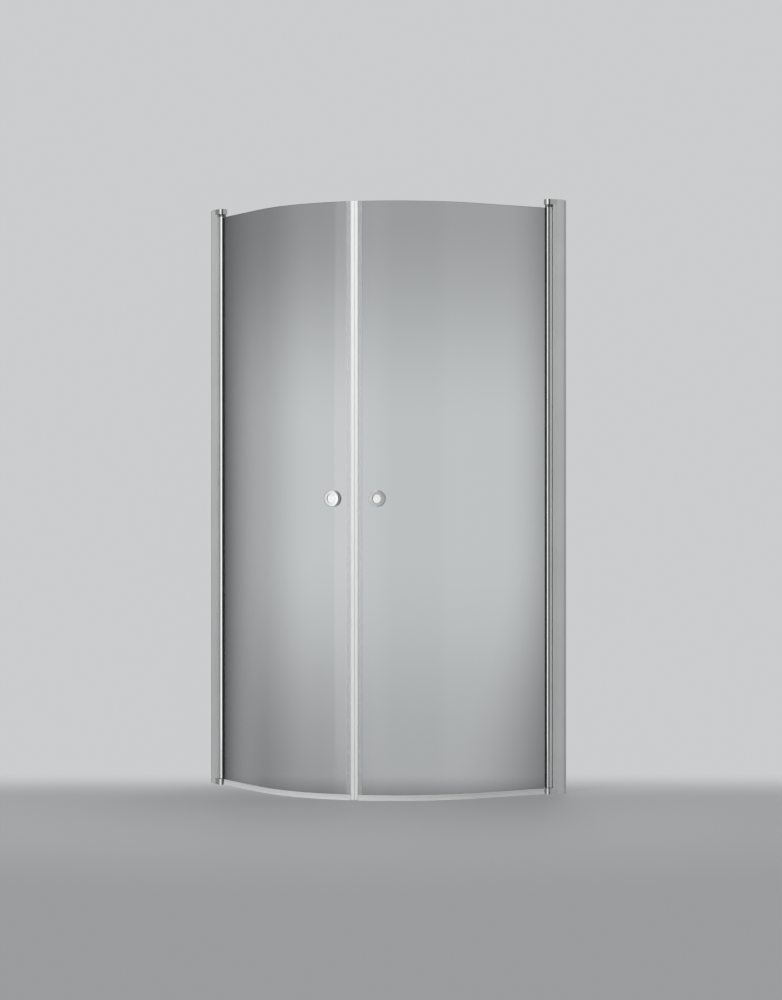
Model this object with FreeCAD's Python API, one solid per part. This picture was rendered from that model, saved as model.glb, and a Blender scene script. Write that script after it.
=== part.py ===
"""Quadrant shower enclosure: two curved glass doors, each on a pivot profile beside a wall profile.

Sizes are in millimetres and +Z is up. The origin is the centre of the square footprint, on the floor.
The left room wall is the plane x = -HALF, the right one the plane y = +HALF, and the doors close the
quadrant towards +x and -y. Every piece is made for the left side, from three measures:
    u  distance from the left room wall, along the flat part of the door
    v  distance outwards from the middle plane of the glass
    z  height above the floor
The right side is the left one mirrored about the diagonal plane where the two doors meet.
"""

import FreeCAD, Part
import math
import os

# Whole enclosure
FOOTPRINT = 894.0            # each room wall to the outermost face, on a 900 mm tray
HEIGHT = 2000.0              # floor to the top of the hinge blocks
BEND_RADIUS = 531.0          # outer face of the curved glass
SEAM_ANGLE = 45.0            # turn of the glass from the flat part to the seam

# Glass doors
GLASS_THICKNESS = 6.0
GLASS_FOOT_HEIGHT = 9.5      # floor to the lower edge of the glass
GLASS_TOP_DROP = 2.2         # top of the pivot profile down to the upper edge of the glass
GLASS_ARRIS = 0.6            # ground edge along the top of the glass
GLASS_NOTCH_CLEARANCE = 0.8  # glass and seal at the foot, past the corner that they swing round

# Wall profile: a channel on the wall and a cover profile that slides over it
PROFILE_DEPTH = 32.0         # outer face to shower-side face
COVER_START = 11.0           # wall to the near edge of the cover profile
COVER_WIDTH = 41.0           # along the wing
COVER_WALL = 1.6
COVER_WEB_POSITION = 23.0    # near edge of the cover profile to its cross web
COVER_GROOVE = 0.8           # depth of the fine groove down both faces
COVER_GROOVE_WIDTH = 1.4
COVER_GROOVE_POSITION = 31.0 # near edge of the cover profile to the middle of the groove
CHANNEL_LEG = 32.0           # length of the channel's legs from the wall
CHANNEL_WEB = 1.8
CHANNEL_LEG_WALL = 1.6
SLIDE_CLEARANCE = 0.3        # between the channel and the cover profile
WALL_SCREW_HOLE = 5.5        # diameter
WALL_SCREW_COUNT = 4
WALL_SCREW_END = 100.0       # end of the channel to the nearest wall screw
CLAMP_SCREW_COUNT = 3
CLAMP_SCREW_END = 200.0      # end of the profiles to the nearest clamp screw
CLAMP_SCREW_DIAMETER = 4.0
CLAMP_HEAD_DIAMETER = 7.0
CLAMP_HEAD_HEIGHT = 2.4
SCREW_COVER_DIAMETER = 11.0
SCREW_COVER_HEIGHT = 4.0
SCREW_COVER_WALL = 1.0
SCREW_COVER_CHAMFER = 0.8

# Pivot
PIVOT_DISTANCE = 62.0        # wall to the pivot axis
PIVOT_DIAMETER = 25.0        # round pivot profile
SEAT_CLEARANCE = 0.8         # pivot profile to the hollow end of the cover profile
SEAT_WALL = 1.8
PIVOT_WALL = 1.8
PIVOT_WEB = 1.2              # between the hollow and the glass slot
GLASS_SLOT_WIDTH = 12.0
GLASS_SLOT_START = 6.4       # pivot axis to the bottom of the glass slot
PIVOT_FLAT = 10.2            # pivot axis to the flat that the gasket lies on
HINGE_BLOCK_TOP_HEIGHT = 18.0
HINGE_BLOCK_BOTTOM_HEIGHT = 20.0
HINGE_BLOCK_OVERLAP = 14.0   # block into the end of the cover profile, along the wing
BLOCK_PAST_PIVOT = 13.7      # pivot axis to the rounded end of both blocks
BLOCK_CORNER_RADIUS = 13.0   # in plan
BLOCK_CAP_THICKNESS = 1.5    # lid of the top block over the end of the cover profile
BLOCK_EDGE_RADIUS = 0.8
PIN_DIAMETER = 6.0
PIN_IN_BLOCK = 14.0
PIN_IN_DOOR = 34.0
PIN_CHAMFER = 0.8
PIN_FIT = 0.02               # radial, pressed end
BEARING_FIT = 0.05           # radial, turning end
BUSH_WALL = 1.2
BUSH_FLANGE_DIAMETER = 23.0
TOP_FLANGE_THICKNESS = 8.5
BOTTOM_FLANGE_THICKNESS = 1.7
TURNING_GAP = 0.3            # bush flange to hinge block
PLUG_LENGTH = 40.0
PLUG_FIT = 0.05
SET_SCREW_DIAMETER = 4.0
SET_SCREW_DEPTH = 6.6        # from the outside of the pivot profile
SET_SCREW_SOCKET = 2.2       # diameter of the socket in the set screw
BLOCK_SCREW_DIAMETER = 3.4
BLOCK_SCREW_HEAD = 7.0
BLOCK_SCREW_HEAD_DEPTH = 2.4
BLOCK_SCREW_REACH = 22.0     # into the cover profile
BLOCK_SCREW_CLEARANCE = 0.2  # radial, in the hinge block
SCREW_PORT_WALL = 1.9
SCREW_PORT_SETBACK = 8.5     # hinge-side edge of the cover profile to the screw ports
SCREW_FIT = 0.05
SEAL_GROOVE_WIDTH = 3.0
SEAL_GROOVE_DEPTH = 1.2
SEAL_LIP_GAP = 0.3           # hinge seal to pivot profile

# Glass gasket in the pivot profile
GASKET_BOTTOM = 0.8
GASKET_LIP = 3.3             # out of the pivot profile, along the glass
GASKET_LIP_SHOULDER = 7.1    # half width where it lies on the pivot profile
GASKET_LIP_TIP = 4.9         # half width at its outer end
SOFT_FIT = 0.05              # soft strips in their slots and on the glass
GASKET_END_GAP = 0.5         # lower end of the pivot profile to the gasket

# Magnetic seam strips
SEAM_GAP = 0.3               # between the two strips
STRIP_NOSE_LENGTH = 11.8     # along the door
STRIP_NOSE_THICKNESS = 9.0
STRIP_NOSE_RADIUS = 1.8
STRIP_NOSE_BACK_GAP = 0.2    # nose to the edge of the glass
STRIP_GRIP = 14.0            # over the glass
STRIP_WALL = 1.1
STRIP_FOOT_HEIGHT = 1.5
MAGNET_WALL = 1.2

# Bottom seal
SEAL_FOOT_HEIGHT = 0.8
SEAL_GRIP = 10.0             # up over the glass
SEAL_WALL = 1.1
SEAL_SKIRT_FLARE = 2.2       # outwards at the foot
SEAL_RAIL_REACH = 8.0        # drip rail into the shower
SEAL_RAIL_DROP = 5.5
SEAL_LIP_THICKNESS = 1.6
SEAL_TO_STRIP_GAP = 0.3      # to the clip above it and to the nose at its end

# Knobs
KNOB_HEIGHT = 993.0
KNOB_FROM_SEAM = 76.0
KNOB_DIAMETER = 55.0
KNOB_THICKNESS = 8.5         # at the dish
KNOB_BEVEL = 2.6             # width of the sloping edge round the face
KNOB_BEVEL_DEPTH = 1.8
KNOB_CROWN = 0.5             # fall of the face from the dish to the sloping edge
KNOB_BACK_CHAMFER = 0.8
KNOB_NECK_DIAMETER = 22.0
KNOB_NECK_LENGTH = 1.0
KNOB_DISH_DIAMETER = 32.0
KNOB_DISH_DEPTH = 4.2
INSERT_GROOVE = 1.3          # round the insert, in the dish
INSERT_THICKNESS = 1.2
INSERT_CHAMFER = 0.5
GLASS_HOLE_DIAMETER = 12.0
STUD_DIAMETER = 6.0
STUD_IN_KNOB = 4.0
STUD_CLEARANCE = 0.1
SLEEVE_FIT = 0.1
WASHER_THICKNESS = 1.0
WASHER_OVERLAP = 1.0         # inside the edge of the knob's neck

# Worked out from the driving dimensions
HALF = FOOTPRINT / 2
PROFILE_HALF_DEPTH = PROFILE_DEPTH / 2
GLASS_HALF = GLASS_THICKNESS / 2
MID_RADIUS = BEND_RADIUS - GLASS_HALF
BEND_START = FOOTPRINT - PROFILE_HALF_DEPTH + GLASS_HALF - BEND_RADIUS
COVER_END = COVER_START + COVER_WIDTH
PROFILE_TOP = HEIGHT - BLOCK_CAP_THICKNESS
BLOCK_START = COVER_END - HINGE_BLOCK_OVERLAP
TOP_BLOCK_FOOT = HEIGHT - HINGE_BLOCK_TOP_HEIGHT
PIVOT_RADIUS = PIVOT_DIAMETER / 2
SEAT_RADIUS = PIVOT_RADIUS + SEAT_CLEARANCE
PIVOT_TOP = TOP_BLOCK_FOOT - TURNING_GAP - TOP_FLANGE_THICKNESS
PIVOT_FOOT = HINGE_BLOCK_BOTTOM_HEIGHT + TURNING_GAP + BOTTOM_FLANGE_THICKNESS
GLASS_TOP = PIVOT_TOP - GLASS_TOP_DROP
GLASS_EDGE = GLASS_SLOT_START + GASKET_BOTTOM + SOFT_FIT
SLOT_HALF = GLASS_SLOT_WIDTH / 2
HOLLOW_FLAT = GLASS_SLOT_START - PIVOT_WEB
HOLLOW_RADIUS = PIVOT_RADIUS - PIVOT_WALL
PIN_RADIUS = PIN_DIAMETER / 2
BUSH_BORE_RADIUS = PIN_RADIUS + BEARING_FIT
BUSH_RADIUS = BUSH_BORE_RADIUS + BUSH_WALL
CHANNEL_HALF_WIDTH = PROFILE_HALF_DEPTH - COVER_WALL - SLIDE_CLEARANCE
CLAMP_POSITION = (COVER_START + CHANNEL_LEG) / 2
CORNER_REACH = math.hypot(PIVOT_DISTANCE - COVER_END, PROFILE_HALF_DEPTH)
DOOR_FOOT_START = PIVOT_DISTANCE + CORNER_REACH + GLASS_NOTCH_CLEARANCE
SCREW_PORT_U = COVER_END - SCREW_PORT_SETBACK
SCREW_PORT_RADIUS = BLOCK_SCREW_DIAMETER / 2 + SCREW_PORT_WALL
SCREW_PORT_V = PROFILE_HALF_DEPTH - COVER_WALL / 2 - SCREW_PORT_RADIUS
NOSE_BACK = SEAM_GAP / 2 + STRIP_NOSE_LENGTH
GLASS_SEAM_INSET = NOSE_BACK + STRIP_NOSE_BACK_GAP
STRIP_GRIP_END = GLASS_SEAM_INSET + STRIP_GRIP
GRIP_INNER = GLASS_HALF + SOFT_FIT
SEAL_TOP = GLASS_FOOT_HEIGHT + SEAL_GRIP
KNOB_ANGLE = SEAM_ANGLE - math.degrees(KNOB_FROM_SEAM / MID_RADIUS)
KNOB_BACK = GLASS_HALF + WASHER_THICKNESS
KNOB_NECK_END = KNOB_BACK + KNOB_NECK_LENGTH
KNOB_FACE = KNOB_NECK_END + KNOB_THICKNESS
KNOB_EDGE = KNOB_FACE - KNOB_CROWN
KNOB_DISH_FLOOR = KNOB_FACE - KNOB_DISH_DEPTH
UP = FreeCAD.Vector(0, 0, 1)


# Places

def place(u, v, z=0.0):
    """A point of the left side, from its three measures."""
    return FreeCAD.Vector(u - HALF, PROFILE_HALF_DEPTH - HALF - v, z)


BEND_CENTRE = place(BEND_START, -MID_RADIUS)


def outward(angle):
    """Direction square to the curved glass, this many degrees round the bend."""
    return FreeCAD.Vector(math.sin(math.radians(angle)), -math.cos(math.radians(angle)), 0)


def on_bend(angle, v, z=0.0):
    """A point on the curved part of the door."""
    return BEND_CENTRE + outward(angle) * (MID_RADIUS + v) + UP * z


def at_seam(back, v, z=0.0):
    """A point this far back from the seam plane, in the straight frame of the seam strips."""
    out = outward(SEAM_ANGLE)
    along = FreeCAD.Vector(-out.y, out.x, 0)
    return on_bend(SEAM_ANGLE, v, z) - along * back


def bend_angle(back):
    """Degrees round the bend of a point this far back from the seam, along the glass."""
    return SEAM_ANGLE - math.degrees(back / MID_RADIUS)


# Simple solids

def prism(corners, low, high):
    """Upright prism over a closed outline of points at height zero."""
    wire = Part.makePolygon(corners + corners[:1])
    return extrude(wire, low, high)


def extrude(wire, low, high):
    """Upright solid over a closed flat wire at height zero."""
    face = Part.Face(wire)
    face.translate(UP * low)
    return face.extrude(UP * (high - low))


def box(u_range, v_range, low, high):
    """Upright box square to the wing."""
    corners = [place(u, v) for u, v in (
        (u_range[0], v_range[0]), (u_range[1], v_range[0]),
        (u_range[1], v_range[1]), (u_range[0], v_range[1]))]
    return prism(corners, low, high)


def post(u, v, radius, low, high):
    """Upright cylinder."""
    return Part.makeCylinder(radius, high - low, place(u, v, low), UP)


def rod(start, direction, radius, length):
    """Cylinder from a point along a direction."""
    return Part.makeCylinder(radius, length, start, direction)


def tidy(shape):
    """The one solid of a finished shape, with split faces joined."""
    clean = shape.removeSplitter()
    return clean.Solids[0] if len(clean.Solids) == 1 else clean


def fuse(first, *others):
    for other in others:
        first = first.fuse(other)
    return tidy(first)


def cut(base, *tools):
    for tool in tools:
        base = base.cut(tool)
    return tidy(base)


def group(shapes):
    """Separate identical solids of one sub-part."""
    return Part.makeCompound(shapes)


def bend_band(v_range, angle_range, low, high):
    """Upright curved wall round the bend."""
    first, last = angle_range
    middle = (first + last) / 2
    inner, outer = v_range
    edges = [
        Part.Arc(on_bend(first, outer), on_bend(middle, outer), on_bend(last, outer)).toShape(),
        Part.LineSegment(on_bend(last, outer), on_bend(last, inner)).toShape(),
        Part.Arc(on_bend(last, inner), on_bend(middle, inner), on_bend(first, inner)).toShape(),
        Part.LineSegment(on_bend(first, inner), on_bend(first, outer)).toShape(),
    ]
    return extrude(Part.Wire(edges), low, high)


def spin(points, angle, z):
    """Turned piece on the axis square to the bend: points are (distance out, radius) pairs."""
    corners = [FreeCAD.Vector(out, 0, radius) for out, radius in points]
    face = Part.Face(Part.makePolygon(corners + corners[:1]))
    solid = face.revolve(FreeCAD.Vector(0, 0, 0), FreeCAD.Vector(1, 0, 0), 360)
    return to_bend(solid, angle, z)


def to_bend(shape, angle, z):
    """Carry a piece made about the X axis to the middle of the glass, facing outwards."""
    out = outward(angle)
    shape = shape.copy()
    shape.rotate(FreeCAD.Vector(0, 0, 0), UP, math.degrees(math.atan2(out.y, out.x)))
    shape.translate(on_bend(angle, 0, z))
    return shape


# Wall profile

def spaced_heights(count, end):
    """Heights evenly spaced along the profiles, the outer ones this far from the ends."""
    pitch = (PROFILE_TOP - 2 * end) / (count - 1)
    return [end + pitch * i for i in range(count)]


def wall_screw_heights():
    return spaced_heights(WALL_SCREW_COUNT, WALL_SCREW_END)


def clamp_heights():
    return spaced_heights(CLAMP_SCREW_COUNT, CLAMP_SCREW_END)


def wall_channel():
    """U channel screwed to the room wall, open towards the door."""
    outer = box((0, CHANNEL_LEG), (-CHANNEL_HALF_WIDTH, CHANNEL_HALF_WIDTH), 0, PROFILE_TOP)
    inside = CHANNEL_HALF_WIDTH - CHANNEL_LEG_WALL
    shape = cut(outer, box((CHANNEL_WEB, CHANNEL_LEG + 1), (-inside, inside), -1, PROFILE_TOP + 1))
    across = place(1, 0) - place(0, 0)
    for height in wall_screw_heights():
        shape = cut(shape, rod(place(-1, 0, height), across, WALL_SCREW_HOLE / 2, CHANNEL_WEB + 2))
    for height in clamp_heights():
        shape = cut(shape, clamp_rod(height, CLAMP_SCREW_DIAMETER / 2 + SCREW_FIT))
    return shape


def seat_cylinder(radius):
    """Round tool about the pivot axis, taller than the profile."""
    return post(PIVOT_DISTANCE, 0, radius, -1, HEIGHT + 1)


def cover_groove(side):
    """Tool for the fine groove on one face of the cover profile."""
    u = COVER_START + COVER_GROOVE_POSITION
    face = side * PROFILE_HALF_DEPTH
    across = sorted((face - side * COVER_GROOVE, face + side))
    return box((u - COVER_GROOVE_WIDTH / 2, u + COVER_GROOVE_WIDTH / 2), across, -1, HEIGHT + 1)


def cover_profile():
    """Extrusion over the channel: an open pocket, a cross web and a closed chamber with a hollow end."""
    inside = PROFILE_HALF_DEPTH - COVER_WALL
    web = COVER_START + COVER_WEB_POSITION
    tall = (-1, HEIGHT + 1)
    shape = box((COVER_START, COVER_END), (-PROFILE_HALF_DEPTH, PROFILE_HALF_DEPTH), 0, PROFILE_TOP)
    pocket = box((COVER_START - 1, web), (-inside, inside), *tall)
    chamber = box((web + COVER_WALL, COVER_END - COVER_WALL), (-inside, inside), *tall)
    chamber = chamber.cut(seat_cylinder(SEAT_RADIUS + SEAT_WALL))
    shape = cut(shape, pocket, chamber, seat_cylinder(SEAT_RADIUS))
    port_bore = BLOCK_SCREW_DIAMETER / 2 + SCREW_FIT
    for side in (-1, 1):
        shape = fuse(shape, post(SCREW_PORT_U, side * SCREW_PORT_V, SCREW_PORT_RADIUS, 0, PROFILE_TOP))
        shape = cut(shape, post(SCREW_PORT_U, side * SCREW_PORT_V, port_bore, *tall), cover_groove(side))
    shape = cut(shape, seal_groove(0, HEIGHT))
    beyond = (BLOCK_START, COVER_END + 1)
    across = (-PROFILE_HALF_DEPTH - 1, PROFILE_HALF_DEPTH + 1)
    shape = cut(shape, box(beyond, across, TOP_BLOCK_FOOT, HEIGHT + 1))
    shape = cut(shape, box(beyond, across, -1, HINGE_BLOCK_BOTTOM_HEIGHT))
    for height in clamp_heights():
        shape = cut(shape, clamp_rod(height, CLAMP_SCREW_DIAMETER / 2 + SLIDE_CLEARANCE))
    return shape


def seal_groove(low, high):
    """Groove in the hollow end of the cover profile for the hinge seal."""
    seat = PIVOT_DISTANCE - SEAT_RADIUS
    half = SEAL_GROOVE_WIDTH / 2
    return box((seat - SEAL_GROOVE_DEPTH, seat + SEAT_CLEARANCE / 2), (-half, half), low - 1, high + 1)


def hinge_seal():
    """Soft strip in the groove, just off the pivot profile."""
    half = SEAL_GROOVE_WIDTH / 2 - SOFT_FIT
    start = PIVOT_DISTANCE - SEAT_RADIUS - SEAL_GROOVE_DEPTH + SOFT_FIT
    end = PIVOT_DISTANCE - PIVOT_RADIUS
    strip = box((start, end), (-half, half), HINGE_BLOCK_BOTTOM_HEIGHT + SOFT_FIT, TOP_BLOCK_FOOT - SOFT_FIT)
    return cut(strip, seat_cylinder(PIVOT_RADIUS + SEAL_LIP_GAP))


def clamp_rod(height, radius):
    """Cylinder on the axis of a clamp screw, through the shower-side walls of both profiles."""
    start = place(CLAMP_POSITION, -PROFILE_HALF_DEPTH - 1, height)
    length = PROFILE_HALF_DEPTH + 1 - (CHANNEL_HALF_WIDTH - CHANNEL_LEG_WALL) + 1
    return rod(start, place(0, 1) - place(0, 0), radius, length)


def clamp_screws():
    """Pan-head screws that fix the cover profile to the channel."""
    out = place(0, -1) - place(0, 0)
    screws = []
    for height in clamp_heights():
        seat = place(CLAMP_POSITION, -PROFILE_HALF_DEPTH, height)
        head = rod(seat, out, CLAMP_HEAD_DIAMETER / 2, CLAMP_HEAD_HEIGHT)
        reach = COVER_WALL + SLIDE_CLEARANCE + CHANNEL_LEG_WALL + 1
        screws.append(fuse(head, rod(seat, out * -1, CLAMP_SCREW_DIAMETER / 2, reach)))
    return group(screws)


def screw_covers():
    """Push-on caps over the heads of the clamp screws."""
    out = place(0, -1) - place(0, 0)
    radius = SCREW_COVER_DIAMETER / 2
    covers = []
    for height in clamp_heights():
        seat = place(CLAMP_POSITION, -PROFILE_HALF_DEPTH, height)
        cap = rod(seat, out, radius, SCREW_COVER_HEIGHT)
        rim = [e for e in cap.Edges if abs((e.CenterOfMass - seat) * out - SCREW_COVER_HEIGHT) < 0.01]
        inside = rod(seat, out, radius - SCREW_COVER_WALL, SCREW_COVER_HEIGHT - SCREW_COVER_WALL)
        covers.append(cut(cap.makeChamfer(SCREW_COVER_CHAMFER, rim), inside))
    return group(covers)


# Hinge blocks and pivots

def block_outline(start):
    """Plan of a hinge block: flush with the cover profile, with rounded corners past the pivot."""
    half = PROFILE_HALF_DEPTH
    radius = BLOCK_CORNER_RADIUS
    end = PIVOT_DISTANCE + BLOCK_PAST_PIVOT
    bite = radius * (1 - math.sqrt(0.5))
    outer = [place(end - radius, half), place(end - bite, half - bite), place(end, half - radius)]
    inner = [place(end, radius - half), place(end - bite, bite - half), place(end - radius, -half)]
    straight = ((inner[2], place(start, -half)), (place(start, -half), place(start, half)),
                (place(start, half), outer[0]), (outer[2], inner[0]))
    edges = [Part.LineSegment(*ends).toShape() for ends in straight]
    edges += [Part.Arc(*corner).toShape() for corner in (outer, inner)]
    return Part.Wire(Part.sortEdges(edges)[0])


def rim_fillet(shape, level, radius):
    """Round the outer edges of a block at one level."""
    rim = [e for e in shape.Edges if e.BoundBox.ZMin > level - 0.01 and e.BoundBox.ZMax < level + 0.01]
    return shape.makeFillet(radius, rim)


def block_screw_cuts(level, upward):
    """Clearance holes and countersinks of the two block screws, from the block's outer face."""
    tools = []
    direction = UP * (-1 if upward else 1)
    for side in (-1, 1):
        mouth = place(SCREW_PORT_U, side * SCREW_PORT_V, level)
        hole = BLOCK_SCREW_DIAMETER / 2 + BLOCK_SCREW_CLEARANCE
        tools.append(rod(mouth - direction, direction, hole, HINGE_BLOCK_BOTTOM_HEIGHT * 2))
        tools.append(Part.makeCone(BLOCK_SCREW_HEAD / 2 + BLOCK_SCREW_CLEARANCE, hole,
                                   BLOCK_SCREW_HEAD_DEPTH, mouth, direction))
    return tools


def top_hinge_block():
    """Block that carries the upper pin, with a lid over the end of the cover profile."""
    body = extrude(block_outline(BLOCK_START), TOP_BLOCK_FOOT, HEIGHT)
    lid = box((COVER_START, BLOCK_START), (-PROFILE_HALF_DEPTH, PROFILE_HALF_DEPTH), PROFILE_TOP, HEIGHT)
    block = rim_fillet(fuse(body, lid), HEIGHT, BLOCK_EDGE_RADIUS)
    foot = TOP_BLOCK_FOOT
    pin_hole = post(PIVOT_DISTANCE, 0, PIN_RADIUS + PIN_FIT, foot - 1, foot + PIN_IN_BLOCK)
    return cut(block, pin_hole, *block_screw_cuts(HEIGHT, True))


def bottom_hinge_block():
    """Block on the floor that carries the lower pin and the weight of the door."""
    top = HINGE_BLOCK_BOTTOM_HEIGHT
    block = extrude(block_outline(BLOCK_START), 0, top)
    pin_hole = post(PIVOT_DISTANCE, 0, PIN_RADIUS + PIN_FIT, top - PIN_IN_BLOCK, top + 1)
    return cut(block, pin_hole, *block_screw_cuts(0, False))


def block_screws():
    """Countersunk screws through both hinge blocks into the ports of the cover profile."""
    screws = []
    for level, direction, block_height in ((HEIGHT, UP * -1, HINGE_BLOCK_TOP_HEIGHT),
                                           (0, UP, HINGE_BLOCK_BOTTOM_HEIGHT)):
        for side in (-1, 1):
            mouth = place(SCREW_PORT_U, side * SCREW_PORT_V, level) + direction * SCREW_FIT
            shank = rod(mouth, direction, BLOCK_SCREW_DIAMETER / 2, block_height + BLOCK_SCREW_REACH)
            head = Part.makeCone(BLOCK_SCREW_HEAD / 2, BLOCK_SCREW_DIAMETER / 2, BLOCK_SCREW_HEAD_DEPTH,
                                 mouth, direction)
            screws.append(fuse(shank, head))
    return group(screws)


def pivot_pin(low, high):
    """Steel pin on the pivot axis with both ends chamfered."""
    pin = post(PIVOT_DISTANCE, 0, PIN_RADIUS, low, high)
    return pin.makeChamfer(PIN_CHAMFER, [e for e in pin.Edges if len(e.Vertexes) == 1])


def top_pivot_pin():
    return pivot_pin(PIVOT_TOP - PIN_IN_DOOR, TOP_BLOCK_FOOT + PIN_IN_BLOCK)


def bottom_pivot_pin():
    return pivot_pin(HINGE_BLOCK_BOTTOM_HEIGHT - PIN_IN_BLOCK, PIVOT_FOOT + PIN_IN_DOOR)


# Pivot profile and what is in it

def hollow(fit, low, high):
    """D-shaped hollow of the pivot profile, drawn in by a fit."""
    shape = post(PIVOT_DISTANCE, 0, HOLLOW_RADIUS - fit, low, high)
    beyond = (PIVOT_DISTANCE + HOLLOW_FLAT - fit, PIVOT_DISTANCE + PIVOT_DIAMETER)
    return cut(shape, box(beyond, (-PIVOT_DIAMETER, PIVOT_DIAMETER), low - 1, high + 1))


def set_screw_heights():
    return (PIVOT_FOOT + PLUG_LENGTH / 2, PIVOT_TOP - PLUG_LENGTH / 2)


def set_screw_rod(height, radius, extra=0.0):
    """Cylinder on the axis of a set screw, from the shower side of the pivot profile."""
    start = place(PIVOT_DISTANCE, -PIVOT_RADIUS - extra, height)
    return rod(start, place(0, 1) - place(0, 0), radius, SET_SCREW_DEPTH + extra)


def pivot_profile():
    """Round extrusion that turns with the door: a hollow on the axis and a slot for the glass."""
    tall = (PIVOT_FOOT - 1, PIVOT_TOP + 1)
    wide = (-PIVOT_DIAMETER, PIVOT_DIAMETER)
    shape = post(PIVOT_DISTANCE, 0, PIVOT_RADIUS, PIVOT_FOOT, PIVOT_TOP)
    beyond = PIVOT_DISTANCE + PIVOT_DIAMETER
    flat = box((PIVOT_DISTANCE + PIVOT_FLAT, beyond), wide, *tall)
    slot = box((PIVOT_DISTANCE + GLASS_SLOT_START, beyond), (-SLOT_HALF, SLOT_HALF), *tall)
    shape = cut(shape, flat, slot, hollow(0, *tall))
    for height in set_screw_heights():
        shape = cut(shape, set_screw_rod(height, SET_SCREW_DIAMETER / 2 + SCREW_FIT, 1))
    return shape


def glass_gasket():
    """Black rubber channel that grips the glass in the slot, with lips over the mouth of the slot."""
    inner = SLOT_HALF - SOFT_FIT
    bottom = PIVOT_DISTANCE + GLASS_SLOT_START + SOFT_FIT
    mouth = PIVOT_DISTANCE + PIVOT_FLAT + SOFT_FIT
    tip = PIVOT_DISTANCE + PIVOT_FLAT + GASKET_LIP
    glass = PIVOT_DISTANCE + GLASS_EDGE - SOFT_FIT
    half = [(tip, GRIP_INNER), (tip, GASKET_LIP_TIP), (mouth, GASKET_LIP_SHOULDER),
            (mouth, inner), (bottom, inner)]
    outline = half + [(u, -v) for u, v in reversed(half)] + [(glass, -GRIP_INNER), (glass, GRIP_INNER)]
    return prism([place(u, v) for u, v in outline], PIVOT_FOOT + GASKET_END_GAP, GLASS_TOP)


def pivot_plug(low, high):
    """Plug in an end of the pivot profile, bored for the bush and tapped for the set screw."""
    plug = cut(hollow(PLUG_FIT, low, high), post(PIVOT_DISTANCE, 0, BUSH_RADIUS + PIN_FIT, low - 1, high + 1))
    for height in set_screw_heights():
        plug = cut(plug, set_screw_rod(height, SET_SCREW_DIAMETER / 2 + SCREW_FIT))
    return plug


def top_pivot_plug():
    return pivot_plug(PIVOT_TOP - PLUG_LENGTH, PIVOT_TOP)


def bottom_pivot_plug():
    return pivot_plug(PIVOT_FOOT, PIVOT_FOOT + PLUG_LENGTH)


def bush(flange_low, flange_high, sleeve_low, sleeve_high):
    """Flanged bearing bush on the pivot axis."""
    flange = post(PIVOT_DISTANCE, 0, BUSH_FLANGE_DIAMETER / 2, flange_low, flange_high)
    sleeve = post(PIVOT_DISTANCE, 0, BUSH_RADIUS, sleeve_low, sleeve_high)
    low, high = min(flange_low, sleeve_low), max(flange_high, sleeve_high)
    return cut(fuse(flange, sleeve), post(PIVOT_DISTANCE, 0, BUSH_BORE_RADIUS, low - 1, high + 1))


def top_bush():
    return bush(PIVOT_TOP, PIVOT_TOP + TOP_FLANGE_THICKNESS, PIVOT_TOP - PLUG_LENGTH, PIVOT_TOP)


def bottom_bush():
    return bush(PIVOT_FOOT - BOTTOM_FLANGE_THICKNESS, PIVOT_FOOT, PIVOT_FOOT, PIVOT_FOOT + PLUG_LENGTH)


def set_screws():
    """Set screws that hold the two plugs in the pivot profile."""
    screws = []
    for height in set_screw_heights():
        screw = set_screw_rod(height, SET_SCREW_DIAMETER / 2)
        screws.append(cut(screw, rod(place(PIVOT_DISTANCE, -PIVOT_RADIUS - 1, height),
                                     place(0, 1) - place(0, 0), SET_SCREW_SOCKET / 2, SET_SCREW_SOCKET + 1)))
    return group(screws)


# Glass and seals

def glass_pane():
    """Bent pane: flat beside the hinge, curved to the seam, drilled for the knob."""
    start = PIVOT_DISTANCE + GLASS_EDGE
    end = bend_angle(GLASS_SEAM_INSET)
    sides = (-GLASS_HALF, GLASS_HALF)
    flat = box((start, BEND_START), sides, GLASS_FOOT_HEIGHT, GLASS_TOP)
    pane = fuse(flat, bend_band(sides, (0, end), GLASS_FOOT_HEIGHT, GLASS_TOP))
    top = [e for e in pane.Edges if e.BoundBox.ZMin > GLASS_TOP - 0.01]
    pane = pane.makeChamfer(GLASS_ARRIS, [e for e in top if e.Length > GLASS_THICKNESS * 2])
    notch_top = PIVOT_FOOT + GASKET_END_GAP
    notch = box((start - 1, DOOR_FOOT_START), (-GLASS_THICKNESS, GLASS_THICKNESS),
                GLASS_FOOT_HEIGHT - 1, notch_top)
    hole = rod(on_bend(KNOB_ANGLE, -GLASS_THICKNESS, KNOB_HEIGHT), outward(KNOB_ANGLE),
               GLASS_HOLE_DIAMETER / 2, GLASS_THICKNESS * 2)
    return cut(pane, notch, hole)


def nose_outline(inset):
    """Rounded plan of a seam strip's nose, drawn in by an inset."""
    front = SEAM_GAP / 2 + inset
    back = NOSE_BACK - inset
    half = STRIP_NOSE_THICKNESS / 2 - inset
    radius = STRIP_NOSE_RADIUS - inset
    bite = radius * (1 - math.sqrt(0.5))
    edges = []
    sides = ((1, 1), (1, -1), (-1, -1), (-1, 1))
    ends = []
    for along, across in sides:
        d = front if along > 0 else back
        v = half * across
        before = at_seam(d + along * radius, v)
        middle = at_seam(d + along * bite, v - across * bite)
        after = at_seam(d, v - across * radius)
        corner = (before, middle, after) if along * across > 0 else (after, middle, before)
        ends.append(corner)
    for i, corner in enumerate(ends):
        edges.append(Part.Arc(*corner).toShape())
        edges.append(Part.LineSegment(corner[2], ends[(i + 1) % len(ends)][0]).toShape())
    return Part.Wire(edges)


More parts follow.
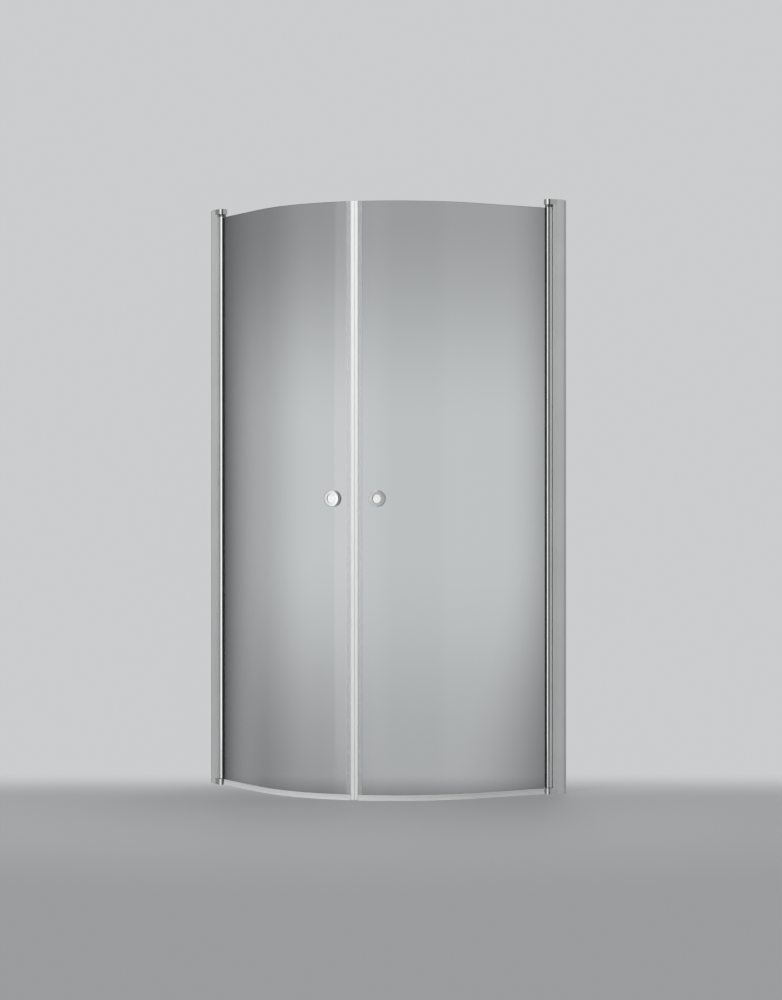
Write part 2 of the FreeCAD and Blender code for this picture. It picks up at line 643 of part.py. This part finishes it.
def magnet_strip():
    """Clear seam strip: a clip on the glass above the bottom seal, and a full nose round the magnet."""
    outer = GRIP_INNER + STRIP_WALL
    grip = (bend_angle(STRIP_GRIP_END), bend_angle(NOSE_BACK - STRIP_NOSE_RADIUS))
    legs = [bend_band(side, grip, SEAL_TOP + SEAL_TO_STRIP_GAP, GLASS_TOP)
            for side in ((GRIP_INNER, outer), (-outer, -GRIP_INNER))]
    nose = extrude(nose_outline(0), STRIP_FOOT_HEIGHT, GLASS_TOP)
    pocket = extrude(nose_outline(MAGNET_WALL), STRIP_FOOT_HEIGHT - 1, GLASS_TOP + 1)
    return cut(fuse(nose, *legs), pocket)


def magnet_core():
    """Magnetic bar in the nose of the seam strip."""
    return extrude(nose_outline(MAGNET_WALL + SOFT_FIT), STRIP_FOOT_HEIGHT, GLASS_TOP)


def bottom_seal():
    """Clear drip seal along the foot of the glass: clip, skirt, floor lip and drip rail."""
    top = SEAL_TOP
    inner = GRIP_INNER
    outer = GRIP_INNER + SEAL_WALL
    under = GLASS_FOOT_HEIGHT - SOFT_FIT
    below = under - SEAL_WALL
    lip = SEAL_LIP_THICKNESS / 2
    rail = outer + SEAL_RAIL_REACH
    foot = SEAL_FOOT_HEIGHT
    section = [
        (inner, top), (outer, top), (outer, below),
        (outer + SEAL_SKIRT_FLARE, foot), (outer + SEAL_SKIRT_FLARE - SEAL_WALL, foot),
        (inner, below),
        (lip, below), (lip, foot), (-lip, foot), (-lip, below),
        (-inner, below),
        (-rail, below - SEAL_RAIL_DROP), (-rail, below - SEAL_RAIL_DROP + SEAL_WALL),
        (-outer, under), (-outer, top), (-inner, top), (-inner, under), (inner, under),
    ]
    flat_face = Part.Face(Part.makePolygon([place(DOOR_FOOT_START, v, z) for v, z in section + section[:1]]))
    bend_face = Part.Face(Part.makePolygon([place(BEND_START, v, z) for v, z in section + section[:1]]))
    flat = flat_face.extrude((place(1, 0) - place(0, 0)) * (BEND_START - DOOR_FOOT_START))
    turn = bend_angle(NOSE_BACK + SEAL_TO_STRIP_GAP)
    return fuse(flat, bend_face.revolve(BEND_CENTRE, UP, turn))


# Knobs

def turned(side, profile):
    """Turned piece about the knob axis, on the outer side (1) or the inner side (-1) of the glass."""
    return spin([(side * out, radius) for out, radius in profile], KNOB_ANGLE, KNOB_HEIGHT)


def knob(side):
    """Knob on one face of the glass: a neck bored for the stud, and a bevelled disc with a dish."""
    bore = STUD_DIAMETER / 2 + STUD_CLEARANCE
    bore_end = KNOB_BACK + STUD_IN_KNOB
    neck = KNOB_NECK_DIAMETER / 2
    rim = KNOB_DIAMETER / 2
    dish = KNOB_DISH_DIAMETER / 2
    return turned(side, [
        (KNOB_BACK, bore), (KNOB_BACK, neck), (KNOB_NECK_END, neck),
        (KNOB_NECK_END, rim - KNOB_BACK_CHAMFER), (KNOB_NECK_END + KNOB_BACK_CHAMFER, rim),
        (KNOB_EDGE - KNOB_BEVEL_DEPTH, rim), (KNOB_EDGE, rim - KNOB_BEVEL),
        (KNOB_FACE, dish), (KNOB_DISH_FLOOR, dish), (KNOB_DISH_FLOOR, 0), (bore_end, 0), (bore_end, bore),
    ])


def outer_knob():
    return knob(1)


def inner_knob():
    return knob(-1)


def knob_inserts():
    """Pale discs on the floors of the dishes of both knobs, with a fine groove round them."""
    radius = KNOB_DISH_DIAMETER / 2 - INSERT_GROOVE
    top = KNOB_DISH_FLOOR + INSERT_THICKNESS
    profile = [(KNOB_DISH_FLOOR, 0), (KNOB_DISH_FLOOR, radius), (top - INSERT_CHAMFER, radius),
               (top, radius - INSERT_CHAMFER), (top, 0)]
    return group([turned(side, profile) for side in (1, -1)])


def knob_stud():
    """Threaded stud through the glass that joins the two knobs."""
    reach = KNOB_BACK + STUD_IN_KNOB - STUD_CLEARANCE
    radius = STUD_DIAMETER / 2
    return spin([(-reach, 0), (-reach, radius), (reach, radius), (reach, 0)], KNOB_ANGLE, KNOB_HEIGHT)


def knob_sleeve():
    """Plastic sleeve that keeps the stud off the glass."""
    outer = GLASS_HOLE_DIAMETER / 2 - SLEEVE_FIT
    inner = STUD_DIAMETER / 2 + SLEEVE_FIT
    half = GLASS_HALF - SLEEVE_FIT
    return spin([(-half, inner), (-half, outer), (half, outer), (half, inner)], KNOB_ANGLE, KNOB_HEIGHT)


def knob_washers():
    """Clear washers between the knobs and the glass, bedded on both bent faces."""
    outer = KNOB_NECK_DIAMETER / 2 - WASHER_OVERLAP
    inner = STUD_DIAMETER / 2 + SLEEVE_FIT
    bed = bend_band((-GLASS_HALF - SOFT_FIT, GLASS_HALF + SOFT_FIT), (0, SEAM_ANGLE),
                    KNOB_HEIGHT - KNOB_DIAMETER, KNOB_HEIGHT + KNOB_DIAMETER)
    washers = []
    for side in (-1, 1):
        low, high = sorted((side * GLASS_HALF * 0.8, side * KNOB_BACK))
        washer = spin([(low, inner), (low, outer), (high, outer), (high, inner)], KNOB_ANGLE, KNOB_HEIGHT)
        washers.append(cut(washer, bed))
    return group(washers)


PIECES = {
    "wall_channel": wall_channel,
    "cover_profile": cover_profile,
    "hinge_seal": hinge_seal,
    "clamp_screws": clamp_screws,
    "screw_covers": screw_covers,
    "top_hinge_block": top_hinge_block,
    "bottom_hinge_block": bottom_hinge_block,
    "block_screws": block_screws,
    "top_pivot_pin": top_pivot_pin,
    "bottom_pivot_pin": bottom_pivot_pin,
    "pivot_profile": pivot_profile,
    "glass_gasket": glass_gasket,
    "top_pivot_plug": top_pivot_plug,
    "bottom_pivot_plug": bottom_pivot_plug,
    "top_bush": top_bush,
    "bottom_bush": bottom_bush,
    "set_screws": set_screws,
    "glass_pane": glass_pane,
    "magnet_strip": magnet_strip,
    "magnet_core": magnet_core,
    "bottom_seal": bottom_seal,
    "outer_knob": outer_knob,
    "inner_knob": inner_knob,
    "knob_inserts": knob_inserts,
    "knob_stud": knob_stud,
    "knob_sleeve": knob_sleeve,
    "knob_washers": knob_washers,
}


def main():
    os.makedirs("parts", exist_ok=True)
    for name, make in PIECES.items():
        left = make()
        right = left.mirror(FreeCAD.Vector(0, 0, 0), FreeCAD.Vector(1, 1, 0))
        left.exportStep(f"parts/left_{name}.step")
        right.exportStep(f"parts/right_{name}.step")
        print(name, len(left.Solids), "solid(s)", round(left.Volume), "mm3", "valid", left.isValid())


main()
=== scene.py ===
"""Looks of the quadrant shower enclosure: finishes, studio and camera.

Lengths are in metres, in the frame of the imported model: +Z up, the mounting faces at x = -half
and y = +half of the footprint, and the curved doors towards +x and -y.
"""

import bpy
import math

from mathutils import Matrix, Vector


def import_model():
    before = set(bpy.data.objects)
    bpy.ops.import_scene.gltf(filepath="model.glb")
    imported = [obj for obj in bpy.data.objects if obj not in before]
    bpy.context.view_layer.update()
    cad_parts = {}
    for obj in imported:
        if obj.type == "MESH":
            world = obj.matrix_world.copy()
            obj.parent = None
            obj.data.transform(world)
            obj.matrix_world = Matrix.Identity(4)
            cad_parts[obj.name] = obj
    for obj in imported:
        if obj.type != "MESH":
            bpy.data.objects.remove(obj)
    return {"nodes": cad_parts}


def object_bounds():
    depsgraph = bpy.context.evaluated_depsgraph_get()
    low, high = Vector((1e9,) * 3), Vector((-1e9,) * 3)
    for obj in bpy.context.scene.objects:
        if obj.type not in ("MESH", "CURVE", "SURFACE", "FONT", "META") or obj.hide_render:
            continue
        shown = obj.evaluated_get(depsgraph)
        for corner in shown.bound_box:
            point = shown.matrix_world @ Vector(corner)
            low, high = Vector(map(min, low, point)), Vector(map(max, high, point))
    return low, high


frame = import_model()
CAD_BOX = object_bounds()

SIDES = ("left", "right")
HALF = (CAD_BOX[1][0] - CAD_BOX[0][0]) / 2    # of the footprint


# Node helpers

BEVEL_SAMPLES = 4


class Tree:
    """A material's or the world's nodes, with short names for the calls used here."""

    def __init__(self, owner):
        owner.use_nodes = True
        self.tree = owner.node_tree
        self.tree.nodes.clear()

    def node(self, kind, settings=None, **inputs):
        node = self.tree.nodes.new("ShaderNode" + kind)
        for name, value in (settings or {}).items():
            setattr(node, name, value)
        for name, value in inputs.items():
            self.feed(node.inputs[name.replace("_", " ")], value)
        return node

    def feed(self, socket, value):
        """Link a socket or set its value; a colour of three numbers gets its alpha."""
        if isinstance(value, bpy.types.NodeSocket):
            self.tree.links.new(value, socket)
            return
        if hasattr(value, "__len__") and len(socket.default_value) == len(value) + 1:
            value = (*value, 1.0)
        socket.default_value = value

    def math(self, operation, first, second=0.0):
        node = self.tree.nodes.new("ShaderNodeMath")
        node.operation = operation
        for socket, value in zip(node.inputs, (first, second)):
            self.feed(socket, value)
        return node.outputs[0]

    def either(self, first, second):
        """Soft union of two shares."""
        both = self.math("MULTIPLY", first, second)
        return self.math("SUBTRACT", self.math("ADD", first, second), both)

    def ramp(self, value, start, end, low=0.0, high=1.0):
        """Smooth step from low at start to high at end."""
        node = self.node("MapRange", {"interpolation_type": "SMOOTHSTEP"}, Value=value,
                         From_Min=start, From_Max=end, To_Min=low, To_Max=high)
        return node.outputs[0]

    def rise(self, value, start, end, low):
        """Quick rise from low at start, levelling off at 1 at end."""
        left = self.node("MapRange", Value=value, From_Min=start, From_Max=end,
                         To_Min=1.0, To_Max=0.0).outputs[0]
        depth = self.math("SUBTRACT", 1.0, low)
        shade = self.math("MULTIPLY", self.math("POWER", left, 2.0), depth)
        return self.math("SUBTRACT", 1.0, shade)

    def mix_colour(self, factor, first, second):
        node = self.node("Mix", {"data_type": "RGBA"})
        for index, value in ((0, factor), (6, first), (7, second)):
            self.feed(node.inputs[index], value)
        return node.outputs[2]

    def mix_shader(self, factor, first, second):
        node = self.node("MixShader")
        for socket, value in zip(node.inputs, (factor, first, second)):
            self.feed(socket, value)
        return node.outputs[0]

    def place(self):
        """Coordinates fixed to the piece, in metres."""
        return self.node("TexCoord").outputs["Object"]

    def axes(self, vector):
        return self.node("SeparateXYZ", Vector=vector).outputs

    def noise(self, scale, stretch=(1, 1, 1), detail=2.0):
        mapping = self.node("Mapping", Vector=self.place(), Scale=stretch).outputs[0]
        return self.node("TexNoise", Vector=mapping, Scale=scale, Detail=detail).outputs[0]

    def bump(self, height, distance, edge=0.0):
        """Surface relief, over edges rounded to a radius where one is given."""
        relief = {"Height": height, "Distance": distance}
        if edge:
            rounded = self.node("Bevel", {"samples": BEVEL_SAMPLES}, Radius=edge)
            relief["Normal"] = rounded.outputs[0]
        return self.node("Bump", **relief).outputs[0]

    def surface(self, colour, roughness, normal, **more):
        """Finish the tree with one opaque surface."""
        shader = self.node("BsdfPrincipled", Base_Color=colour, Roughness=roughness,
                           Normal=normal, **more)
        self.end(shader.outputs[0])

    def end(self, shader, kind="OutputMaterial"):
        self.tree.links.new(shader, self.node(kind).inputs["Surface"])


def material(name):
    mat = bpy.data.materials.new(name)
    return mat, Tree(mat)


def scaled(colour, share, added=0.0):
    return [c * share + added for c in colour]


# Finishes: scales of noise are per metre

BROAD = (0.3, 0.7)           # ranges of noise over which a finish changes
NARROW = (0.35, 0.65)
FINE_RELIEF = 0.00001
SOFT_RELIEF = 0.00002
EDGE_ROUNDING = 0.0004
CLEAR_IOR = 1.5              # of glass and clear plastic

DIE_LINES = 900.0
DIE_LINE_DETAIL = 3.0
DIE_RELIEF = 0.00003
ALONG_EXTRUSION = (1.0, 1.0, 0.0003)    # lines drawn out along the height
METAL_CLOUDS = 9.0
METAL_CLOUD_SHADE = 0.96     # share of the colour


def extruded_metal(name, colour, roughness, spread, depth, metallic=1.0):
    """Aluminium extrusion with fine die lines along its height."""
    mat, t = material(name)
    lines = t.noise(DIE_LINES, ALONG_EXTRUSION, DIE_LINE_DETAIL)
    clouds = t.ramp(t.noise(METAL_CLOUDS), *BROAD)
    shade = t.mix_colour(clouds, scaled(colour, METAL_CLOUD_SHADE), colour)
    rough = t.ramp(lines, *BROAD, roughness - spread, roughness + spread)
    t.surface(shade, rough, t.bump(lines, depth, EDGE_ROUNDING), Metallic=metallic)
    return mat


CAST_GRAIN = 600.0
CAST_PATCHES = 40.0
CAST_PATCH_SHADE = 0.95      # share of the colour
CAST_SMOOTH, CAST_DULL = 0.7, 1.3    # shares of the roughness


def cast_metal(name, colour, roughness):
    """Plated casting or turned steel with a faint grain."""
    mat, t = material(name)
    patches = t.noise(CAST_PATCHES)
    rough = t.ramp(patches, *BROAD, roughness * CAST_SMOOTH, roughness * CAST_DULL)
    shade = t.mix_colour(t.ramp(patches, *NARROW), scaled(colour, CAST_PATCH_SHADE), colour)
    grain = t.bump(t.noise(CAST_GRAIN), FINE_RELIEF, EDGE_ROUNDING)
    t.surface(shade, rough, grain, Metallic=1.0)
    return mat


RUBBER_GRAIN = 1500.0
RUBBER_WEAR = 25.0
RUBBER_WORN = (0.35, 0.7)    # range of the noise over which the colour changes
RUBBER_WORN_COLOUR = (1.6, 0.004)    # share of the colour and what is added to it
RUBBER_WORN_ROUGH = 0.12     # added


def rubber(name, colour, roughness):
    """Dull rubber, a little paler and rougher where it is worn."""
    mat, t = material(name)
    wear = t.noise(RUBBER_WEAR)
    worn_colour = scaled(colour, *RUBBER_WORN_COLOUR)
    shade = t.mix_colour(t.ramp(wear, *RUBBER_WORN), colour, worn_colour)
    rough = t.ramp(wear, *BROAD, roughness, roughness + RUBBER_WORN_ROUGH)
    t.surface(shade, rough, t.bump(t.noise(RUBBER_GRAIN), SOFT_RELIEF))
    return mat


PLASTIC_GRAIN = 2200.0
PLASTIC_CLOUDS = 30.0
PLASTIC_CLOUD_SHADE = 0.93   # share of the colour
PLASTIC_SPREAD = 0.05        # of the roughness, up and down


def plastic(name, colour, roughness):
    """Moulded plastic with a fine grain."""
    mat, t = material(name)
    grain = t.noise(PLASTIC_GRAIN)
    clouds = t.ramp(t.noise(PLASTIC_CLOUDS), *NARROW)
    shade = t.mix_colour(clouds, scaled(colour, PLASTIC_CLOUD_SHADE), colour)
    rough = t.ramp(grain, *BROAD, roughness - PLASTIC_SPREAD, roughness + PLASTIC_SPREAD)
    t.surface(shade, rough, t.bump(grain, FINE_RELIEF))
    return mat


PVC_STREAKS = 300.0
STREAK_RANGE = (0.25, 0.75)
STREAK_SHARES = (0.85, 1.15)    # of what looks solid
ALONG_STRIP = (1.0, 1.0, 0.0005)
ALONG_SEAL = (0.001, 0.001, 1.0)
NOSE_REACH = 0.01195         # from the seam, where the thick nose of a strip ends
NOSE_BLEND = 0.0004          # to each side of it
CLIP_LIP = 0.0185            # from the seam, where a strip's clip turns darker
CLIP_LIP_BLEND = 0.001
CLIP_CLEAR = (0.96, 0.965, 0.96)
CLIP_LIP_CLEAR = (0.945, 0.95, 0.95)


def clear_pvc(name, colour, thin, thick, roughness, stretch):
    """Soft clear plastic, milky where it is thick.

    thin and thick are how much of it looks solid in its clip and in its nose.
    """
    mat, t = material(name)
    x, y, _ = t.axes(t.place())
    across = t.math("ABSOLUTE", t.math("ADD", x, y))
    from_seam = t.math("MULTIPLY", across, math.sqrt(0.5))
    body = t.ramp(from_seam, NOSE_REACH - NOSE_BLEND, NOSE_REACH + NOSE_BLEND, thick, thin)
    streaks = t.noise(PVC_STREAKS, stretch)
    solid = t.math("MULTIPLY", body, t.ramp(streaks, *STREAK_RANGE, *STREAK_SHARES))
    skin = t.node("BsdfPrincipled", Base_Color=colour, Roughness=roughness, IOR=CLEAR_IOR,
                  Normal=t.bump(streaks, SOFT_RELIEF))
    lip = t.ramp(from_seam, CLIP_LIP, CLIP_LIP + CLIP_LIP_BLEND)
    clear = t.node("BsdfTransparent", Color=t.mix_colour(lip, CLIP_CLEAR, CLIP_LIP_CLEAR))
    t.end(t.mix_shader(solid, clear.outputs[0], skin.outputs[0]))
    return mat


# Painted shade: soft darkening of the glass's grey tint towards its borders. A row says where
# the change starts, where the glass is clear and, at the end, what share of clear it starts with.
# Where that share changes from place to place, the row named SHARES after it says so.
GLASS_CLEAR = (0.88, 0.895, 0.895)
# the tint where the glass is darkest, from painted shade and from a slanting view
GLASS_DARK = (0.0, 0.004, 0.005)
GLASS_LEFT_PAINTED_SHADE = (0.045, 0.39)                    # from the left mounting face
GLASS_LEFT_PAINTED_SHADE_SHARES = (1.20, 1.95, 0.0, 0.30)   # heights, and the shares at them
GLASS_RIGHT_PAINTED_SHADE = (0.03, 0.24, 0.40)              # from the right mounting face
GLASS_RIGHT_PAINTED_SHADE_LOW = (0.0, 0.90, 0.50)           # heights; low down, the change reaches further in
GLASS_TOP_PAINTED_SHADE = (1.97, 1.20)                      # heights
GLASS_TOP_PAINTED_SHADE_SHARES = (0.50, 0.63)               # of the left and the right pane
GLASS_FOOT_PAINTED_SHADE = (0.05, 0.85)                     # heights
GLASS_FOOT_PAINTED_SHADE_SHARES = (0.58, 0.77)              # of the left and the right pane
GLASS_FOOT_PAINTED_SHADE_BORDER = (0.10, 0.40, 0.92)        # from the left mounting face; weaker near it
GLASS_SLANT = (0.50, 0.14, 0.58)              # slant of the view
PANE_BLEND = (-0.2, 0.2)                      # x + y, from the left pane to the right one


def grey_glass(name):
    """Grey toughened glass, clearest in the middle of the front and darker towards its borders in
    painted shade; darker too when seen at a slant.
    """
    mat, t = material(name)
    x, y, z = t.axes(t.place())
    slant = t.node("LayerWeight").outputs["Facing"]
    left = t.math("ADD", x, HALF)
    right = t.math("MULTIPLY", t.math("SUBTRACT", HALF, y), t.ramp(z, *GLASS_RIGHT_PAINTED_SHADE_LOW, 1.0))
    pane = t.math("ADD", x, y)
    left_foot_painted_shade = t.ramp(left, *GLASS_FOOT_PAINTED_SHADE_BORDER, GLASS_FOOT_PAINTED_SHADE_SHARES[0])
    # clear: the glass's clarity at a slant of view, times the painted shade towards its borders
    clear = 1.0
    for part in (
            t.rise(left, *GLASS_LEFT_PAINTED_SHADE, t.ramp(z, *GLASS_LEFT_PAINTED_SHADE_SHARES)),
            t.rise(right, *GLASS_RIGHT_PAINTED_SHADE),
            t.ramp(z, *GLASS_TOP_PAINTED_SHADE, t.ramp(pane, *PANE_BLEND, *GLASS_TOP_PAINTED_SHADE_SHARES)),
            t.ramp(z, *GLASS_FOOT_PAINTED_SHADE, t.ramp(pane, *PANE_BLEND, left_foot_painted_shade, GLASS_FOOT_PAINTED_SHADE_SHARES[1])),
            t.ramp(slant, *GLASS_SLANT, 1.0)):
        clear = t.math("MULTIPLY", clear, part)
    # the tint carries the painted shade from the borders
    tint_with_painted_shade = t.mix_colour(clear, GLASS_DARK, GLASS_CLEAR)
    body = t.node("BsdfPrincipled", Base_Color=tint_with_painted_shade, Roughness=0.0, IOR=CLEAR_IOR,
                  Transmission_Weight=1.0)
    lamps = t.node("BsdfTransparent", Color=tint_with_painted_shade)
    shadow = t.node("LightPath").outputs["Is Shadow Ray"]
    t.end(t.mix_shader(shadow, body.outputs[0], lamps.outputs[0]))
    return mat


FINISHES = {
    "wall_channel": extruded_metal("satin_aluminium", (0.52, 0.52, 0.53), roughness=0.42,
                                   spread=0.05, depth=DIE_RELIEF, metallic=0.5),
    "cover_profile": extruded_metal("bright_aluminium", (0.64, 0.645, 0.65), roughness=0.36,
                                    spread=0.05, depth=DIE_RELIEF, metallic=0.5),
    "pivot_profile": extruded_metal("polished_aluminium", (0.88, 0.885, 0.89), roughness=0.09,
                                    spread=0.03, depth=FINE_RELIEF),
    "hinge_block": cast_metal("polished_metal", (0.80, 0.805, 0.81), roughness=0.14),
    "knob": cast_metal("knob_chrome", (0.88, 0.885, 0.89), roughness=0.40),
    "screws": cast_metal("steel", (0.55, 0.55, 0.56), roughness=0.28),
    "rubber": rubber("black_rubber", (0.025, 0.025, 0.026), roughness=0.55),
    # dark metal whose low colour is partly painted shade, for the shade under the hinge block
    "bush": cast_metal("dark_metal_painted_shade", (0.26, 0.26, 0.265), roughness=0.12),
    "grey_plastic": plastic("grey_plastic", (0.45, 0.46, 0.47), roughness=0.4),
    "strip": clear_pvc("clear_strip", (0.76, 0.77, 0.77), thin=0.16, thick=0.80,
                       roughness=0.25, stretch=ALONG_STRIP),
    "seal": clear_pvc("clear_seal", (0.63, 0.64, 0.64), thin=0.80, thick=0.80,
                      roughness=0.3, stretch=ALONG_SEAL),
    "insert": plastic("knob_insert", (0.78, 0.785, 0.785), roughness=0.3),
    "magnet": plastic("magnet_white", (0.80, 0.80, 0.79), roughness=0.5),
    "glass": grey_glass("clear_glass"),
}

PIECES = {
    "wall_channel": ("wall_channel",),
    "cover_profile": ("cover_profile",),
    "pivot_profile": ("pivot_profile",),
    "hinge_block": ("top_hinge_block", "bottom_hinge_block"),
    "knob": ("outer_knob", "inner_knob"),
    "screws": ("clamp_screws", "block_screws", "set_screws", "top_pivot_pin",
               "bottom_pivot_pin", "knob_stud"),
    "rubber": ("hinge_seal", "glass_gasket"),
    "bush": ("top_bush", "bottom_bush"),
    "grey_plastic": ("screw_covers", "top_pivot_plug", "bottom_pivot_plug"),
    "strip": ("magnet_strip",),
    "seal": ("bottom_seal", "knob_sleeve", "knob_washers"),
    "insert": ("knob_inserts",),
    "magnet": ("magnet_core",),
    "glass": ("glass_pane",),
}


def dress_nodes():
    """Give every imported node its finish."""
    for finish, pieces in PIECES.items():
        for name in (f"{side}_{piece}" for side in SIDES for piece in pieces):
            node = frame["nodes"][name]
            if not node.material_slots:
                node.data.materials.append(None)
            for slot in node.material_slots:
                slot.link = "OBJECT"
                slot.material = FINISHES[finish]


# Camera, fitted to the photograph

CAMERA_POSITION = (7.7010, -4.4469, 0.9762)
CAMERA_AZIMUTH = math.radians(59.87)
CAMERA_SENSOR = 36.0         # mm, on the long side
CAMERA_LENS = 93.23          # mm
CAMERA_SHIFT_UP = 0.00365    # of the long side
CAMERA_REACH = 200.0


def camera():
    data = bpy.data.cameras.new("camera")
    data.lens = CAMERA_LENS
    data.sensor_width = CAMERA_SENSOR
    data.shift_y = CAMERA_SHIFT_UP
    data.clip_end = CAMERA_REACH
    eye = bpy.data.objects.new("camera", data)
    eye.location = CAMERA_POSITION
    eye.rotation_euler = (math.pi / 2, 0.0, CAMERA_AZIMUTH)
    bpy.context.scene.collection.objects.link(eye)
    bpy.context.scene.camera = eye


# Studio

BACKDROP_COLOUR = (0.60, 0.61, 0.615)
WHITE = (1.0, 1.0, 1.0)


def seen_directly(t):
    """Whether a ray comes from the camera, straight or through glass."""
    path = t.node("LightPath").outputs
    return t.math("MAXIMUM", path["Is Camera Ray"], path["Is Transmission Ray"])


FLOOR_COLOUR = (0.34, 0.345, 0.35)
FLOOR_ROUGHNESS = 0.55
FLOOR_SPECULAR = 0.3
FLOOR_SEEN = (0.33, 0.335, 0.34)    # how it looks away from the object
FLOOR_SIZE = 60.0
FLOOR_LIT = (1.0, 2.6)       # from the object, where its shading gives way to the plain colour
FLOOR_END = (0.6, -0.5)      # forward of the object, where it turns into the backdrop behind it
FLOOR_FAR = (5.0, 12.0)      # from the object, where it turns into the backdrop elsewhere
FLOOR_GLOSS_OPEN = 0.5       # how much of the studio the object's gloss sees in the floor


def floor_look(name):
    """Plain floor, lit round the object, that turns into the backdrop behind it and far off."""
    mat, t = material(name)
    place = t.place()
    x, y, _ = t.axes(place)
    forward = t.math("SUBTRACT", t.math("MULTIPLY", x, math.sin(CAMERA_AZIMUTH)),
                     t.math("MULTIPLY", y, math.cos(CAMERA_AZIMUTH)))
    reach = t.node("VectorMath", {"operation": "LENGTH"})
    t.feed(reach.inputs[0], place)
    away = reach.outputs["Value"]
    behind = t.ramp(forward, *FLOOR_END)
    far = t.either(behind, t.ramp(away, *FLOOR_FAR))
    colour = t.mix_colour(far, FLOOR_SEEN, BACKDROP_COLOUR)
    gloss = t.math("MULTIPLY", t.node("LightPath").outputs["Is Glossy Ray"], FLOOR_GLOSS_OPEN)
    plain_share = t.either(t.either(behind, t.ramp(away, *FLOOR_LIT)), gloss)
    ground = t.node("BsdfPrincipled", Base_Color=FLOOR_COLOUR, Roughness=FLOOR_ROUGHNESS,
                    Specular_IOR_Level=FLOOR_SPECULAR)
    air = t.node("BsdfTransparent")
    plain = t.node("Emission", Color=colour, Strength=1.0)
    distance = t.mix_shader(seen_directly(t), air.outputs[0], plain.outputs[0])
    t.end(t.mix_shader(plain_share, ground.outputs[0], distance))
    return mat


def floor():
    mesh = bpy.data.meshes.new("studio_floor")
    s = FLOOR_SIZE / 2
    mesh.from_pydata([(-s, -s, 0), (s, -s, 0), (s, s, 0), (-s, s, 0)], [], [(0, 1, 2, 3)])
    mesh.materials.append(floor_look("studio_floor"))
    plane = bpy.data.objects.new("studio_floor", mesh)
    bpy.context.scene.collection.objects.link(plane)


STUDIO_LEVEL = 0.42
STUDIO_LOBES = (             # bearing from +x, half width, softness, in degrees, and added level
    (-76, 22, 24, 0.33),     # bright front
    (-69, 4.5, 3, 0.9),      # narrow bright strip
    (-16, 14, 14, -0.38),    # dark side
    (-165, 35, 20, -0.16),   # darker back
)


def world():
    """Pale backdrop seen directly or through glass, and a soft studio for light and gloss."""
    studio_world = bpy.data.worlds.new("studio")
    bpy.context.scene.world = studio_world
    t = Tree(studio_world)
    x, y, _ = t.axes(t.node("TexCoord").outputs["Generated"])
    bearing = t.math("DEGREES", t.math("ARCTAN2", y, x))
    level = STUDIO_LEVEL
    for centre, half_width, softness, added in STUDIO_LOBES:
        away = t.math("ABSOLUTE", t.math("SUBTRACT", bearing, centre))
        level = t.math("ADD", level, t.ramp(away, half_width, half_width + softness, added, 0.0))
    studio = t.node("Background", Color=WHITE, Strength=level)
    backdrop = t.node("Background", Color=BACKDROP_COLOUR, Strength=1.0)
    t.end(t.mix_shader(seen_directly(t), studio.outputs[0], backdrop.outputs[0]), "OutputWorld")


LAMP_TARGET = Vector((0.0, 0.0, 1.0))
LAMPS = (                    # name, position, side of the square, watts
    ("key", (1.2, -4.2, 2.4), 2.6, 125),
    ("fill", (4.6, 1.2, 1.9), 2.2, 70),
    ("top", (0.0, 0.0, 4.6), 2.4, 40),
    ("back", (-3.2, 3.2, 2.6), 2.4, 70),
)


def lights():
    """Soft square lamps round the object, which gloss and glass don't show."""
    for name, position, size, watts in LAMPS:
        data = bpy.data.lights.new(name, "AREA")
        data.shape = "SQUARE"
        data.size = size
        data.energy = watts
        light = bpy.data.objects.new(name, data)
        light.location = position
        light.visible_glossy = False
        light.visible_transmission = False
        towards = LAMP_TARGET - Vector(position)
        light.rotation_euler = towards.to_track_quat("-Z", "Y").to_euler()
        bpy.context.scene.collection.objects.link(light)


dress_nodes()
floor()
world()
lights()
camera()
bpy.context.scene.view_settings.view_transform = "Standard"
